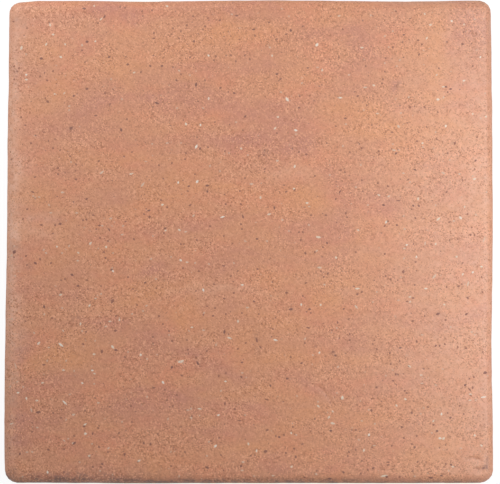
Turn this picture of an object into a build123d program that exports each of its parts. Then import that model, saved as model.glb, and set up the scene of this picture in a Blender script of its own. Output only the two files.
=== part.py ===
"""Hand-pressed terracotta field tile, 300 mm square and 20 mm thick, lying on its back.

Units are millimetres. The origin is the middle of the tile's footprint on the floor, +Z is up out of
the worn face, and +Y is the far side of the tile as it is looked down on.
"""

import math
import os

from build123d import *

# Driving sizes
nominal_side = 300.0  # the side of the square that the tile is sold as
thickness = 20.0  # back to the middle of the face
face_drop = 0.5  # how far the face falls from its middle to its rim
pillow_radius = 7.0  # rounding of the face's edge, wiped with a wet cloth
back_arris_radius = 1.2  # slight rounding round the back

# The hand-worked waves across the face: height and length of the broad ones and of the slanting ones
broad_wave_height = 0.22
broad_wave_across = 195.0
broad_wave_along = 270.0
broad_wave_shift = 18.0  # how far the broad waves are moved towards the left
slant_wave_height = 0.13
slant_wave_across = 420.0
slant_wave_along = 163.0

# The sides belly out a little: how far each height lies inside the widest outline
side_profile = [(0.0, 1.1), (5.0, 0.35), (11.0, 0.0), (16.0, 0.1), (22.0, 0.6)]

# The corners of the widest outline: place of the sharp corner, and the radius that rounds it
far_left = (-148.2, 149.2, 8.0)
near_left = (-151.4, -149.2, 9.0)
near_right = (151.4, -149.3, 8.0)
far_right = (150.1, 149.4, 7.0)

# The waves that handling left in each side, as points on the way from one corner to the next
left_waves = [(-148.4, 112), (-149.2, 62), (-149.5, 12), (-150.7, -58), (-151.3, -113)]
near_waves = [(-90, -149.45), (0, -149.4), (90, -149.4)]
right_waves = [(151.0, -103), (150.5, -68), (151.1, -20), (151.0, 53), (150.6, 100)]
far_waves = [(112, 148.95), (50, 149.3), (-8, 149.5), (-62, 148.75), (-112, 149.25)]


def corner_arc(corner, start_angle, inset):
    """The quarter circle that rounds a corner, drawn anticlockwise from start_angle."""
    x, y, radius = corner
    centre = (x - math.copysign(radius, x), y - math.copysign(radius, y))
    return CenterArc(centre, radius - inset, start_angle, 90)


def wavy_side(arc, waves, next_arc, inward):
    """One side of the outline, moved inward, that leaves and meets its corner arcs without a kink."""
    moved = [Vector(*point) + inward for point in waves]
    return Spline(arc @ 1, *moved, next_arc @ 0, tangents=(arc % 1, next_arc % 0))


def outline(height, inset):
    """The tile's section at one height, inset from the widest outline."""
    with BuildSketch(Plane.XY.offset(height)) as section:
        with BuildLine():
            arc_far_left = corner_arc(far_left, 90, inset)
            arc_near_left = corner_arc(near_left, 180, inset)
            arc_near_right = corner_arc(near_right, 270, inset)
            arc_far_right = corner_arc(far_right, 0, inset)
            wavy_side(arc_far_left, left_waves, arc_near_left, Vector(inset, 0))
            wavy_side(arc_near_left, near_waves, arc_near_right, Vector(0, inset))
            wavy_side(arc_near_right, right_waves, arc_far_right, Vector(-inset, 0))
            wavy_side(arc_far_right, far_waves, arc_far_left, Vector(0, -inset))
        make_face()
    return section.sketch


def turns(distance, wave_length):
    """The angle of a wave at a distance along it."""
    return 2 * math.pi * distance / wave_length


def face_height(x, y):
    """Height of the worn face: a low crown with slow waves across it."""
    crown = math.cos(turns(x, 2 * nominal_side)) * math.cos(turns(y, 2 * nominal_side)) - 1
    broad = math.sin(turns(x + broad_wave_shift, broad_wave_across)) * math.cos(turns(y, broad_wave_along))
    slant = math.sin(turns(y, slant_wave_along) - turns(x, slant_wave_across))
    return thickness + face_drop * crown + broad_wave_height * broad + slant_wave_height * slant


# The surface that the face was struck off and wiped to, wider than the tile all round
surface_half_width = 165.0
surface_steps = 10
surface_grid = [surface_half_width * (2 * i / surface_steps - 1) for i in range(surface_steps + 1)]
struck_surface = Face.make_surface_from_array_of_points(
    [[Vector(x, y, face_height(x, y)) for y in surface_grid] for x in surface_grid]
)

# The tile, pressed into its mould as one piece
with BuildPart() as tile:
    loft(sections=[outline(height, inset) for height, inset in side_profile])
    split(bisect_by=struck_surface, keep=Keep.BOTTOM)
    worn_face = tile.faces().sort_by(Axis.Z)[-1]
    fillet(worn_face.edges(), pillow_radius)
    back = tile.faces().sort_by(Axis.Z)[0]
    fillet(back.edges(), back_arris_radius)
tile.part.label = "tile"

os.makedirs("parts", exist_ok=True)
export_step(tile.part, "parts/tile.step")
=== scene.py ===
import math

import bpy
import numpy as np
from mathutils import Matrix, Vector
from mathutils.bvhtree import BVHTree
from mathutils.geometry import delaunay_2d_cdt
from mathutils.kdtree import KDTree


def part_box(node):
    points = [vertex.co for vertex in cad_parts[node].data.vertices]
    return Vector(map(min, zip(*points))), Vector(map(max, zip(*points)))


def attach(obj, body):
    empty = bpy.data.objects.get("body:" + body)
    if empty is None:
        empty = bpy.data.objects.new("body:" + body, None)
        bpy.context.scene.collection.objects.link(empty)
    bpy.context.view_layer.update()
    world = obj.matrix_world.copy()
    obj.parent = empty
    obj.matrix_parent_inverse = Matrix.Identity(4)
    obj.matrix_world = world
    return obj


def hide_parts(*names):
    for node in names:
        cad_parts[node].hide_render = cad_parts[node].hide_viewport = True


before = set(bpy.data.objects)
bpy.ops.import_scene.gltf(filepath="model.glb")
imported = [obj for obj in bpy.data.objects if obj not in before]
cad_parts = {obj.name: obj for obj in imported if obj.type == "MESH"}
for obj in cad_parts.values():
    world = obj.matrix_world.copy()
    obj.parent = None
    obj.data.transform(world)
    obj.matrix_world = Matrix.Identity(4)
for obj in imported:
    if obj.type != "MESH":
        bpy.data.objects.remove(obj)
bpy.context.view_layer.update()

# The camera hangs straight over the tile, a hair to the right of its middle, and looks down on the
# worn face with the far side at the top of the picture.
mm = 0.001
picture_width = 500
picture_height = 484
widest_height = 11 * mm  # the tile's sides are widest this far above the floor
picture_span = 310.05 * mm  # what the picture's width shows at that height
camera_right = 0.87 * mm
camera_near = 0.15 * mm
lens_length = 100.0
sensor_width = 36.0


def in_scene(name, data):
    """A new object with its data, linked into the scene."""
    item = bpy.data.objects.new(name, data)
    bpy.context.scene.collection.objects.link(item)
    return item


camera_data = bpy.data.cameras.new("camera_overhead")
camera_data.lens = lens_length
camera_data.sensor_width = sensor_width
camera_data.clip_start = 0.01
camera_height = widest_height + picture_span * lens_length / sensor_width
camera = in_scene("camera_overhead", camera_data)
camera.location = (camera_right, -camera_near, camera_height)
bpy.context.scene.camera = camera
bpy.context.scene.view_settings.view_transform = "Standard"

# A plain pale floor under the tile. The camera sees it white, as a paper sweep burnt out by its own
# lamps, and it still takes the tile's soft shadow and throws pale light back at the sides.
floor_half = 4.0
seen_floor_glow = 0.86
seen_floor_colour = (0.20, 0.20, 0.20, 1)
paper_colour = (0.40, 0.40, 0.40, 1)

floor_mesh = bpy.data.meshes.new("floor_paper")
floor_mesh.from_pydata(
    [(x * floor_half, y * floor_half, 0) for x, y in ((-1, -1), (1, -1), (1, 1), (-1, 1))],
    [],
    [(0, 1, 2, 3)],
)
floor = in_scene("floor_paper", floor_mesh)


def feed(tree, socket, value):
    """Gives an input a constant, or links it to the output of another node."""
    if isinstance(value, bpy.types.NodeSocket):
        tree.links.new(value, socket)
    else:
        socket.default_value = value


def add_node(tree, kind, **values):
    """A new node in a tree. Values are its settings, or what its inputs are fed, by their names."""
    node = tree.nodes.new(kind)
    for name, value in values.items():
        if hasattr(node, name):
            setattr(node, name, value)
        else:
            feed(tree, node.inputs[name.replace("_", " ")], value)
    return node


def calculate(tree, operation, *values):
    """A Math node on sockets or numbers, and its result."""
    node = add_node(tree, "ShaderNodeMath", operation=operation)
    for socket, value in zip(node.inputs, values):
        feed(tree, socket, value)
    return node.outputs[0]


def emptied_tree(owner):
    """The node tree of a new material or world, with nothing in it."""
    owner.use_nodes = True
    owner.node_tree.nodes.clear()
    return owner.node_tree


def finish_tree(tree, output_kind, seen, lit, shown):
    """Ends a tree with one shader for the light it gives, and another for where it is seen."""
    mix = add_node(tree, "ShaderNodeMixShader")
    for socket, value in zip(mix.inputs, (seen, lit.outputs[0], shown.outputs[0])):
        feed(tree, socket, value)
    add_node(tree, output_kind, Surface=mix.outputs[0])


# The camera, a mirror and clear glass all see the paper white
paper = bpy.data.materials.new("white_paper")
paper_tree = emptied_tree(paper)
rays = add_node(paper_tree, "ShaderNodeLightPath").outputs
paper_seen = calculate(paper_tree, "MAXIMUM", rays["Is Camera Ray"], rays["Is Glossy Ray"])
paper_seen = calculate(paper_tree, "MAXIMUM", paper_seen, rays["Is Transmission Ray"])
paper_lit = add_node(paper_tree, "ShaderNodeBsdfDiffuse", Color=paper_colour)
paper_shaded = add_node(paper_tree, "ShaderNodeBsdfDiffuse", Color=seen_floor_colour)
paper_glow = add_node(paper_tree, "ShaderNodeEmission", Strength=seen_floor_glow)
paper_white = add_node(paper_tree, "ShaderNodeAddShader")
for slot, part in enumerate((paper_shaded, paper_glow)):
    paper_tree.links.new(part.outputs[0], paper_white.inputs[slot])
finish_tree(paper_tree, "ShaderNodeOutputMaterial", paper_seen, paper_lit, paper_white)
floor_mesh.materials.append(paper)

# Soft studio light: an even room, a soft box close on the right that gives the worn face its sheen,
# and a second one beyond the far left corner. Nothing stands on the near side, which stays darker.
room_strength = 0.374
room_colour = (1.0, 1.0, 1.0, 1)
backdrop_white = (1.0, 1.0, 1.0, 1)
soft_boxes = [
    ("soft_box_right", (0.28, 0.01, 0.26), 0.46, 0.26, 0.775),
    ("soft_box_far_left", (-0.31, 0.42, 0.36), 0.34, 0.34, 1.74),
]

world = bpy.data.worlds.new("studio_room")
room_tree = emptied_tree(world)
room_seen = add_node(room_tree, "ShaderNodeLightPath").outputs["Is Camera Ray"]
room_light = add_node(room_tree, "ShaderNodeBackground", Color=room_colour, Strength=room_strength)
backdrop = add_node(room_tree, "ShaderNodeBackground", Color=backdrop_white, Strength=1.0)
finish_tree(room_tree, "ShaderNodeOutputWorld", room_seen, room_light, backdrop)
bpy.context.scene.world = world

for box_name, box_place, box_width, box_height, box_watts in soft_boxes:
    lamp = bpy.data.lights.new(box_name, "AREA")
    lamp.shape = "RECTANGLE"
    lamp.size = box_width
    lamp.size_y = box_height
    lamp.energy = box_watts
    soft_box = in_scene(box_name, lamp)
    soft_box.location = box_place
    soft_box.rotation_euler = (-Vector(box_place)).to_track_quat("-Z", "Y").to_euler()
    soft_box.visible_camera = False

# The tile: one slab of red clay pressed into a frame, struck off, wiped over its edges with a wet
# cloth, dried on a board and fired. Its outline, thickness, rounded edge and broad waves are the
# solid's own, found by casting rays at it. The small relief of the clay is sunk into that skin.
pillow_inset = 7.2 * mm  # the rounded edge turns about a line this far inside the outline
pillow_height = 12.8 * mm
arris_inset = 2.4 * mm
arris_height = 1.3 * mm
fan_corner = 2.0 * mm
round_spacing = 1.45 * mm
corner_steps = 10
pillow_angles = [90, 82, 74, 66, 58, 50, 42, 34, 26, 17, 8, 0]
side_heights = [11.4, 9.9, 8.4, 6.9, 5.5, 4.1, 2.6]
arris_angles = [-20, -45, -68, -90]

cad_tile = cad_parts["tile"]
tile_low, tile_high = (Vector(corner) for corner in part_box("tile"))
cad_skin = BVHTree.FromPolygons(
    [vertex.co for vertex in cad_tile.data.vertices],
    [tuple(face.vertices) for face in cad_tile.data.polygons],
)


def skin_hit(start, direction):
    """Where a ray from inside the solid meets its skin."""
    return cad_skin.ray_cast(start, direction)[0]


def round_the_tile():
    """Places inside the outline, anticlockwise, each with the direction out of the tile there."""
    half_x = tile_high.x - 2 * pillow_inset
    half_y = tile_high.y - 2 * pillow_inset
    for quarter in range(4):
        facing = math.radians(90 * quarter)
        out = Vector((math.cos(facing), math.sin(facing), 0))
        along = Vector((-out.y, out.x, 0))
        reach, half_run = (half_x, half_y) if quarter % 2 == 0 else (half_y, half_x)
        half_straight = half_run - fan_corner
        steps = round(2 * half_straight / round_spacing)
        for step in range(steps):
            yield out * reach + along * half_straight * (2 * step / steps - 1), out
        fan_middle = out * (reach - fan_corner) + along * half_straight
        for step in range(corner_steps):
            turn = facing + math.radians(90) * step / corner_steps
            direction = Vector((math.cos(turn), math.sin(turn), 0))
            yield fan_middle + direction * fan_corner, direction


def ring_from(stations, inset, height, angle):
    """Where rays at one angle, from a line inside the outline, meet the skin, and which way they face."""
    up = Vector((0, 0, math.sin(math.radians(angle))))
    level = math.cos(math.radians(angle))
    rays = [(edge - out * inset, out * level + up) for edge, out in stations]
    return (
        [skin_hit(Vector((start.x, start.y, height)), facing) for start, facing in rays],
        [facing for start, facing in rays],
    )


stations = [
    (skin_hit(Vector((place.x, place.y, widest_height)), out), out) for place, out in round_the_tile()
]
rings = [ring_from(stations, pillow_inset, pillow_height, angle) for angle in pillow_angles]
rings += [ring_from(stations, pillow_inset, height * mm, 0) for height in side_heights]
rings += [ring_from(stations, arris_inset, arris_height, angle) for angle in arris_angles]
round_count = len(stations)

# Places on the worn face are named by the picture's columns and rows, one pixel being what it spans there
worn_height = tile_high.z
pixel = (camera_height - worn_height) * sensor_width / lens_length / picture_width


def seen_at(column, row):
    """The place on the worn face, in plan, that the picture shows at a column and row."""
    return np.array([
        camera_right + (column - picture_width / 2) * pixel,
        -camera_near - (row - picture_height / 2) * pixel,
    ])


# Pits where a grain fell out or a bubble broke, on the worn face, most of them small
pit_seed = 41
pit_count = 280
pit_radius = (0.35 * mm, 1.0 * mm)
pit_depth = (0.12 * mm, 0.42 * mm)
pit_crowding = 2.2  # the larger it is, the commoner are small pits
pit_hollowness = (0.6, 1)
pit_roundness = (0.55, 1.0)
pit_margin = 9 * mm

pit_dice = np.random.default_rng(pit_seed)
pit_places = np.column_stack([
    pit_dice.uniform(tile_low.x + pit_margin, tile_high.x - pit_margin, pit_count),
    pit_dice.uniform(tile_low.y + pit_margin, tile_high.y - pit_margin, pit_count),
])
pit_sizes = pit_dice.uniform(0, 1, pit_count) ** pit_crowding
pit_radii = np.interp(pit_sizes, (0, 1), pit_radius)
pit_depths = np.interp(pit_sizes * pit_dice.uniform(*pit_hollowness, pit_count), (0, 1), pit_depth)
pit_stretch = pit_dice.uniform(*pit_roundness, pit_count)
pit_turns = pit_dice.uniform(0, math.pi, pit_count)


def lattice(spacing, low, high):
    """A triangular lattice of points over a rectangle, by its low and its high corner."""
    rows = np.arange(low[1], high[1], spacing * math.sqrt(3) / 2)
    columns = np.arange(low[0], high[0], spacing)
    x, y = np.meshgrid(columns, rows)
    x = x + (np.arange(len(rows)) % 2)[:, None] * spacing / 2
    return np.column_stack([x.ravel(), y.ravel()])


def tree_of(points):
    """A search tree over points in plan."""
    tree = KDTree(len(points))
    for index, point in enumerate(points):
        tree.insert((point[0], point[1], 0), index)
    tree.balance()
    return tree


def clear_of(points, others, clearances):
    """The points that keep their clearance from the nearest of the others."""
    tree = tree_of(others)
    kept = []
    for point in points:
        _, index, distance = tree.find((point[0], point[1], 0))
        kept.append(distance > clearances[index])
    return points[np.array(kept)]


def filled(loop, inner, loop_start, inner_start):
    """Triangles between a closed loop and the points inside it, in plan, numbered from two starts."""
    flat = [Vector(point[:2]) for point in loop] + [Vector(point) for point in inner]
    edges = [(index, (index + 1) % len(loop)) for index in range(len(loop))]
    numbers = [loop_start + index for index in range(len(loop))]
    numbers += [inner_start + index for index in range(len(inner))]
    _, _, faces, origins, _, _ = delaunay_2d_cdt(flat, edges, [], 1, merged_apart)
    return [tuple(numbers[origins[corner][0]] for corner in face) for face in faces]


face_spacing = 1.32 * mm
dent_spacing = 0.66 * mm
back_spacing = 3.2 * mm
rim_clearance = 0.8 * mm
back_clearance = 0.6 * back_spacing
merged_apart = 1e-7
pit_clearance = 1.7  # times the pit's radius
pit_rings = [(0.5, 6), (0.95, 9)]  # share of the pit's radius, and how many points stand round there

# The crescent that a fingernail pressed, as columns and rows, and where a finer lattice holds the dents
nail_crescent = [(310, 383), (320, 387.5), (329, 397.5), (334, 409)]
dent_patches = [(seen_at(306, 425), seen_at(356, 376)), (seen_at(460, 480), seen_at(491, 450))]

worn_points = lattice(face_spacing, tile_low, tile_high)
for patch_low, patch_high in dent_patches:
    in_patch = np.all((worn_points > patch_low) & (worn_points < patch_high), axis=1)
    worn_points = np.vstack([worn_points[~in_patch], lattice(dent_spacing, patch_low, patch_high)])
worn_points = clear_of(worn_points, pit_places, pit_radii * pit_clearance)
pit_points = []
for place, radius in zip(pit_places, pit_radii):
    pit_points.append(place)
    for share, count in pit_rings:
        turns = np.arange(count) * 2 * math.pi / count + share
        pit_points.extend(place + radius * share * np.column_stack([np.cos(turns), np.sin(turns)]))
worn_points = np.vstack([worn_points, pit_points])

face_loop = np.array(rings[0][0])
back_loop = np.array(rings[-1][0])
worn_points = clear_of(worn_points, face_loop, np.full(round_count, rim_clearance))
back_points = lattice(back_spacing, tile_low, tile_high)
back_points = clear_of(back_points, back_loop, np.full(round_count, back_clearance))

above = tile_high.z + 10 * mm
worn_skin = [cad_skin.ray_cast((x, y, above), (0, 0, -1))[0] for x, y in worn_points]
worn_points = worn_points[[hit is not None for hit in worn_skin]]
worn_skin = np.array([hit for hit in worn_skin if hit is not None])
back_skin = np.column_stack([back_points, np.zeros(len(back_points))])
face_start = len(rings) * round_count
back_start = face_start + len(worn_skin)
last_ring = face_start - round_count

faces = []
for ring in range(len(rings) - 1):
    for station in range(round_count):
        here = ring * round_count + station
        beside = ring * round_count + (station + 1) % round_count
        faces.append((here, here + round_count, beside + round_count, beside))
faces += filled(face_loop, worn_points, 0, face_start)
faces += [corners[::-1] for corners in filled(back_loop, back_points, last_ring, back_start)]

skin_places = np.vstack([np.array(ring) for ring, _ in rings] + [worn_skin, back_skin])
skin_facing = np.vstack(
    [np.array(facing) for _, facing in rings]
    + [np.tile((0, 0, 1), (len(worn_skin), 1)), np.tile((0, 0, -1), (len(back_skin), 1))]
)

# Lattice points that lie beyond the two loops are in no triangle, and are dropped
used = np.unique([corner for face in faces for corner in face])
new_place = np.zeros(len(skin_places), int)
new_place[used] = np.arange(len(used))
faces = [tuple(new_place[corner] for corner in face) for face in faces]
skin_places = skin_places[used]
skin_facing = skin_facing[used]
plan = skin_places[:, :2]
upright = 1 - np.abs(skin_facing[:, 2])
is_face = (used < round_count) | ((used >= face_start) & (used < back_start))
is_back = ((used >= last_ring) & (used < face_start)) | (used >= back_start)

# The small relief: how far the skin is sunk in from the solid at each place
wave_count = 48
skin_sunk = 0.20 * mm
least_sunk = 0.13 * mm  # leaves room for grains to stand proud within the solid
side_sunk_less = (0.06 * mm, 0.13 * mm)  # by how much less the left and the near side are sunk in
least_sunk_side = 0.04 * mm


def clay_waves(points, shortest, longest, seed, stretch=(1, 1, 1)):
    """Smooth random waves through the clay, of unit spread, with lengths from shortest to longest."""
    dice = np.random.default_rng(seed)
    heading = dice.normal(size=(wave_count, 3))
    heading /= np.linalg.norm(heading, axis=1, keepdims=True)
    lengths = np.geomspace(shortest, longest, wave_count)
    pull = heading / lengths[:, None] / np.array(stretch)
    phases = 2 * math.pi * (points @ pull.T + dice.uniform(0, 1, wave_count))
    return np.cos(phases).sum(axis=1) * math.sqrt(2 / wave_count)


def bowl(distance, radius):
    """One in the middle of a hollow, falling smoothly to nothing at its rim."""
    return np.clip(1 - (distance / radius) ** 2, 0, 1) ** 1.5


def along_stroke(points, stroke):
    """How far along a stroke of a few points each place is, from 0 to 1, and how far to its left."""
    best = np.full(len(points), np.inf)
    share = np.zeros(len(points))
    side = np.zeros(len(points))
    for index in range(len(stroke) - 1):
        start, run = stroke[index], stroke[index + 1] - stroke[index]
        along = np.clip((points - start) @ run / (run @ run), 0, 1)
        away = points - start - along[:, None] * run
        distance = np.linalg.norm(away, axis=1)
        nearer = distance < best
        best[nearer] = distance[nearer]
        share[nearer] = (index + along[nearer]) / (len(stroke) - 1)
        side[nearer] = np.sign(run[0] * away[nearer, 1] - run[1] * away[nearer, 0]) * distance[nearer]
    return share, side


# Waves in the skin: where they run, height, shortest and longest in millimetres, seed and stretch
everywhere = np.ones(len(skin_places))
skin_waves = [
    (everywhere, 0.040, 16, 60, 3, (2, 1, 1)),
    (everywhere, 0.010, 3.4, 9, 4, (3, 1, 1)),
    (everywhere, 0.006, 2.6, 4, 5, (1, 1, 1)),
    (upright, 0.045, 2.5, 12, 6, (3, 3, 1)),
    (is_back, 0.07, 7, 26, 7, (1, 1, 1)),
]

# Dents by hand and by handling: the stroke as columns and rows, half width and depth in millimetres
dents = [
    (nail_crescent, 1.3, 0.36),
    ([(442, 392.5), (448, 394)], 1.2, 0.22),
    ([(467, 460.5), (473, 458), (481, 460)], 0.9, 0.60),
    ([(475, 470), (479, 468.5)], 1.0, 0.60),
    ([(480, 472), (484, 469), (487, 463)], 1.0, 0.60),
    ([(66, 307), (79, 305.5), (93.5, 312)], 2.6, -0.06),
    ([(222.5, 398.5), (239, 405), (248.5, 415)], 2.6, 0.19),
    ([(235.5, 392), (255, 398.5), (268, 410)], 2.6, 0.19),
    ([(261.5, 418), (275, 426), (281, 434.5)], 2.4, 0.18),
]
dent_taper = (0.12, 0.88)  # the share of a half wave that a dent's depth runs through from end to end
dent_facing = 0.4  # dents are only where the skin faces up more than this

# Flats that lifting the clay out of its frame left beside the corners: place, half length and depth
corner_flats = [
    (-140.5, 149, 6.5, 1.05), (147, 148, 4, 0.35), (148, -147.5, 5, 0.45), (-151, -140.5, 5, 0.6),
]

sunk = np.full(len(skin_places), skin_sunk)
for share, height, shortest, longest, seed, stretch in skin_waves:
    sunk += share * height * mm * clay_waves(skin_places, shortest * mm, longest * mm, seed, stretch)

pit = np.zeros(len(skin_places))
pit_tree = tree_of(pit_places)
for index in np.nonzero(is_face)[0]:
    place = plan[index]
    _, nearest, _ = pit_tree.find((place[0], place[1], 0))
    apart = place - pit_places[nearest]
    long_way = np.array([math.cos(pit_turns[nearest]), math.sin(pit_turns[nearest])])
    across = apart @ long_way
    distance = math.sqrt(max(apart @ apart - across ** 2, 0) / pit_stretch[nearest] ** 2 + across ** 2)
    pit[index] = bowl(distance, pit_radii[nearest])
    sunk[index] += pit_depths[nearest] * pit[index]

for stroke, half_width, depth in dents:
    share, side = along_stroke(plan, [seen_at(column, row) for column, row in stroke])
    taper = np.sin(math.pi * np.interp(share, (0, 1), dent_taper)) * (skin_facing[:, 2] > dent_facing)
    sunk += depth * mm * taper * np.exp(-(side / (half_width * mm)) ** 2)

for x, y, half_length, depth in corner_flats:
    away = np.hypot(plan[:, 0] - x * mm, plan[:, 1] - y * mm)
    sunk += upright * depth * mm * np.exp(-(away / (half_length * mm)) ** 2)

sunk -= np.clip(-skin_facing[:, :2], 0, 1) @ np.array(side_sunk_less)
sunk = np.maximum(sunk, least_sunk + (least_sunk_side - least_sunk) * upright)
tile_places = skin_places - skin_facing * sunk[:, None]

tile_mesh = bpy.data.meshes.new("fired_tile")
tile_mesh.from_pydata(tile_places.tolist(), [], faces)
tile_mesh.validate()
tile_mesh.polygons.foreach_set("use_smooth", [True] * len(tile_mesh.polygons))


def keep_on(mesh, name, values):
    """Stores one number for each vertex, for the material or the grains to read."""
    attribute = mesh.attributes.new(name, "FLOAT", "POINT")
    attribute.data.foreach_set("value", np.asarray(values, np.float32))


def stain(marks, places, edge):
    """How strongly soft oval marks colour each place, with a harder rim for a larger edge. A mark is
    the column and row of its middle, its half length and half width in pixels, its turn and strength."""
    total = np.zeros(len(places))
    for column, row, half_length, half_width, turn, strength in marks:
        apart = (places - seen_at(column, row)) / pixel
        heading = np.array([math.cos(math.radians(turn)), math.sin(math.radians(turn))])
        along = apart @ heading / half_length
        across = (apart[:, 1] * heading[0] - apart[:, 0] * heading[1]) / half_width
        total += strength * np.exp(-(along ** 2 + across ** 2) ** edge)
    return total


# Where the fire flashed the clay: towards plum below nought, towards ochre above it, and one plum mark along
# the far rim that is painted shade
kiln_flashes_and_rim_shade = [
    (132, 97, 50, 12, 0, -0.40), (80, 132, 36, 14, 15, -0.15), (190, 98, 40, 12, 0, -0.60),
    (262, 118, 54, 30, 0, -0.70), (282, 148, 40, 14, 0, -0.60), (235, 142, 26, 12, 0, -0.35),
    (361, 30, 22, 24, 0, -0.75), (470, 30, 20, 32, 0, -0.80), (386, 204, 24, 22, -20, -0.45),
    (474, 240, 16, 30, 0, -0.60), (153, 270, 20, 8, 0, -0.95), (113, 325, 18, 14, 0, -0.55),
    (156, 408, 52, 18, -5, -0.75), (212, 370, 24, 16, -25, -0.55), (398, 86, 8, 7, 0, -0.9),
    (60, 440, 80, 60, 0, -0.25), (20, 352, 12, 16, 0, -0.7), (28, 428, 16, 16, 0, -0.4),
    (56, 385, 46, 10, 0, -0.25), (305, 245, 34, 18, 0, -0.25), (425, 320, 50, 24, 0, -0.20),
    (438, 68, 14, 46, 3, 0.9), (222, 34, 18, 12, 0, 0.8), (60, 60, 20, 26, 0, 0.6),
    (382, 125, 20, 18, 0, 0.6), (161, 188, 28, 17, 0, 0.5), (312, 196, 20, 16, 0, 0.5),
    (330, 302, 13, 20, 0, 0.9), (186, 316, 18, 16, 0, 0.7), (66, 360, 20, 10, 0, 0.7),
    (16, 474, 12, 12, 0, 0.3), (130, 448, 50, 12, 10, 0.25), (416, 130, 30, 22, 0, 0.35),
    # The mark at (80, 7) on the next line darkens the left half of the far rim as painted shade
    (445, 452, 20, 20, 0, 0.5), (420, 270, 110, 200, 0, 0.06), (80, 7, 85, 8, 0, -0.45),
    (19, 400, 8, 65, 0, -0.35),
]

# Pale marks: slip that the wiping cloth left here and there, a paler band along the left rim, a painted sheen
# over the right part of the face and painted highlights in the scuffs by the near right corner
slip_and_sheen_marks = [
    (10, 242, 9, 240, 0, 0.85), (24, 180, 12, 90, 0, 0.12), (292, 172, 30, 6, 0, 0.30),
    (220, 290, 42, 5, 0, 0.30), (36, 218, 34, 6, 8, 0.36), (34, 232, 28, 6, 4, 0.3),
    (20, 55, 8, 24, 0, 0.2), (20, 320, 8, 26, 0, 0.2), (480, 168, 12, 16, 0, 0.2),
    (336, 54, 8, 20, 0, 0.12), (90, 310, 26, 14, 0, 0.12), (344, 293, 12, 5, 0, 0.12),
    # The broad mark at column 500 is a painted sheen on the right part of the face, and the marks from (474,
    # 464) on are painted highlights on the scuff walls
    (500, 260, 112, 340, 0, 0.53), (12, 95, 8, 70, 0, 0.25), (474, 464, 8, 2, 0, 0.4),
    (480, 474, 6, 1.5, 20, 0.4), (486, 462, 1.5, 8, 0, 0.4),
]

# Grey and rusty smudges, where iron bled into the clay round a grain or a hand was not clean, and painted
# shade along the near rim and in the scuffs by the near right corner
smudges_and_painted_shade = [
    (47, 101, 5, 3, 0, 0.7), (71, 128, 4, 3, 0, 0.5), (14, 248, 7, 6, 0, 0.6), (30, 269, 6, 4, 60, 0.5),
    (77, 316, 4, 5, 0, 0.7), (113, 300, 4, 3, 40, 0.6), (207, 188, 4, 4, 0, 0.6), (258, 339, 4, 15, 0, 0.5),
    (334, 354, 6, 3, -45, 0.7), (455, 143, 4, 3, 0, 0.5), (398, 86, 5, 5, 0, 0.5), (264, 152, 6, 4, 0, 0.6),
    # (62, 479) and (100, 476) here and (240, 475) below are painted shade along the near rim
    (460, 285, 4, 4, 0, 0.6), (438, 314, 5, 3, 0, 0.5), (62, 479, 52, 5, 0, 0.8), (100, 476, 90, 7, 0, 0.3),
    (240, 475, 90, 6, 0, 0.2), (20, 22, 5, 5, 0, 0.4), (15, 400, 9, 60, 0, 0.24),
    # The three marks on the next line are painted shadows in the scuffs by the near right corner
    (475.5, 460, 7, 1.6, 0, 1.3), (484, 468.5, 5, 1.8, 10, 2.4), (488, 460, 1.4, 8, 0, 0.7),
    (13, 471, 5, 5, 0, 0.7), (20, 20, 5, 4, 0, 0.5), (17, 77, 5, 15, 0, 0.4), (198, 363, 4, 6, 0, 0.5),
    (92, 215, 5, 3, 0, 0.5), (291, 309, 5, 3, 0, 0.6),
]

# The sealing wax is on all that faces up, and was rubbed thin along the left half of the far rim
rubbed_thin = [(80, 6, 95, 9, 0, 0.6), (230, 6, 90, 9, 0, 0.3)]
waxed_facing = (0.25, 0.9)

# Each kind of mark drifts with the clay by its own share. The near side is painted darker too, as painted
# shade where the lamps leave it dim: by how far it faces the near way, from the height where that starts, and
# less towards the right.
flash_edge = 1.3
plain_edge = 1.0
drift_seeds = (11, 12)
drift_reach = 2.2 * mm
drift_waves = (14 * mm, 40 * mm)
slip_drift = 0.5
smudge_drift = 0.15
near_shadow = 3.0
shadow_facing = (0.45, 0.9)
shadow_height = (3 * mm, 12 * mm)
shadow_middle = 0.75
shadow_fall = 1.5
shadow_share = (0.3, 1.3)

above_back = skin_facing[:, 2] > -0.5
sideways = skin_places[:, 0] / (tile_high.x - tile_low.x)
painted_near_shade = near_shadow * np.interp(-skin_facing[:, 1], shadow_facing, (0, 1))
painted_near_shade *= np.interp(skin_places[:, 2], shadow_height, (0, 1))
painted_near_shade *= np.clip(shadow_middle - shadow_fall * sideways, *shadow_share)
drift = np.column_stack([clay_waves(skin_places, *drift_waves, seed) for seed in drift_seeds])
drift *= drift_reach
flashed_and_shaded = stain(kiln_flashes_and_rim_shade, plan + drift, flash_edge)
slip_and_sheen = stain(slip_and_sheen_marks, plan + slip_drift * drift, plain_edge)
smudged_and_shaded = stain(smudges_and_painted_shade, plan + smudge_drift * drift, plain_edge)
waxed = np.interp(skin_facing[:, 2], waxed_facing, (0, 1))
# Besides the clay's own marks, the flash and smudge numbers carry painted shade, and the slip number a
# painted sheen and painted highlights
keep_on(tile_mesh, "kiln_flash_and_shade", flashed_and_shaded * above_back)
keep_on(tile_mesh, "pale_slip_and_sheen", slip_and_sheen * above_back)
keep_on(tile_mesh, "smudge_and_shade", smudged_and_shaded * above_back + painted_near_shade)
keep_on(tile_mesh, "sealed", waxed * np.clip(1 - stain(rubbed_thin, plan, plain_edge), 0, 1))
keep_on(tile_mesh, "pit", pit)

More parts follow.
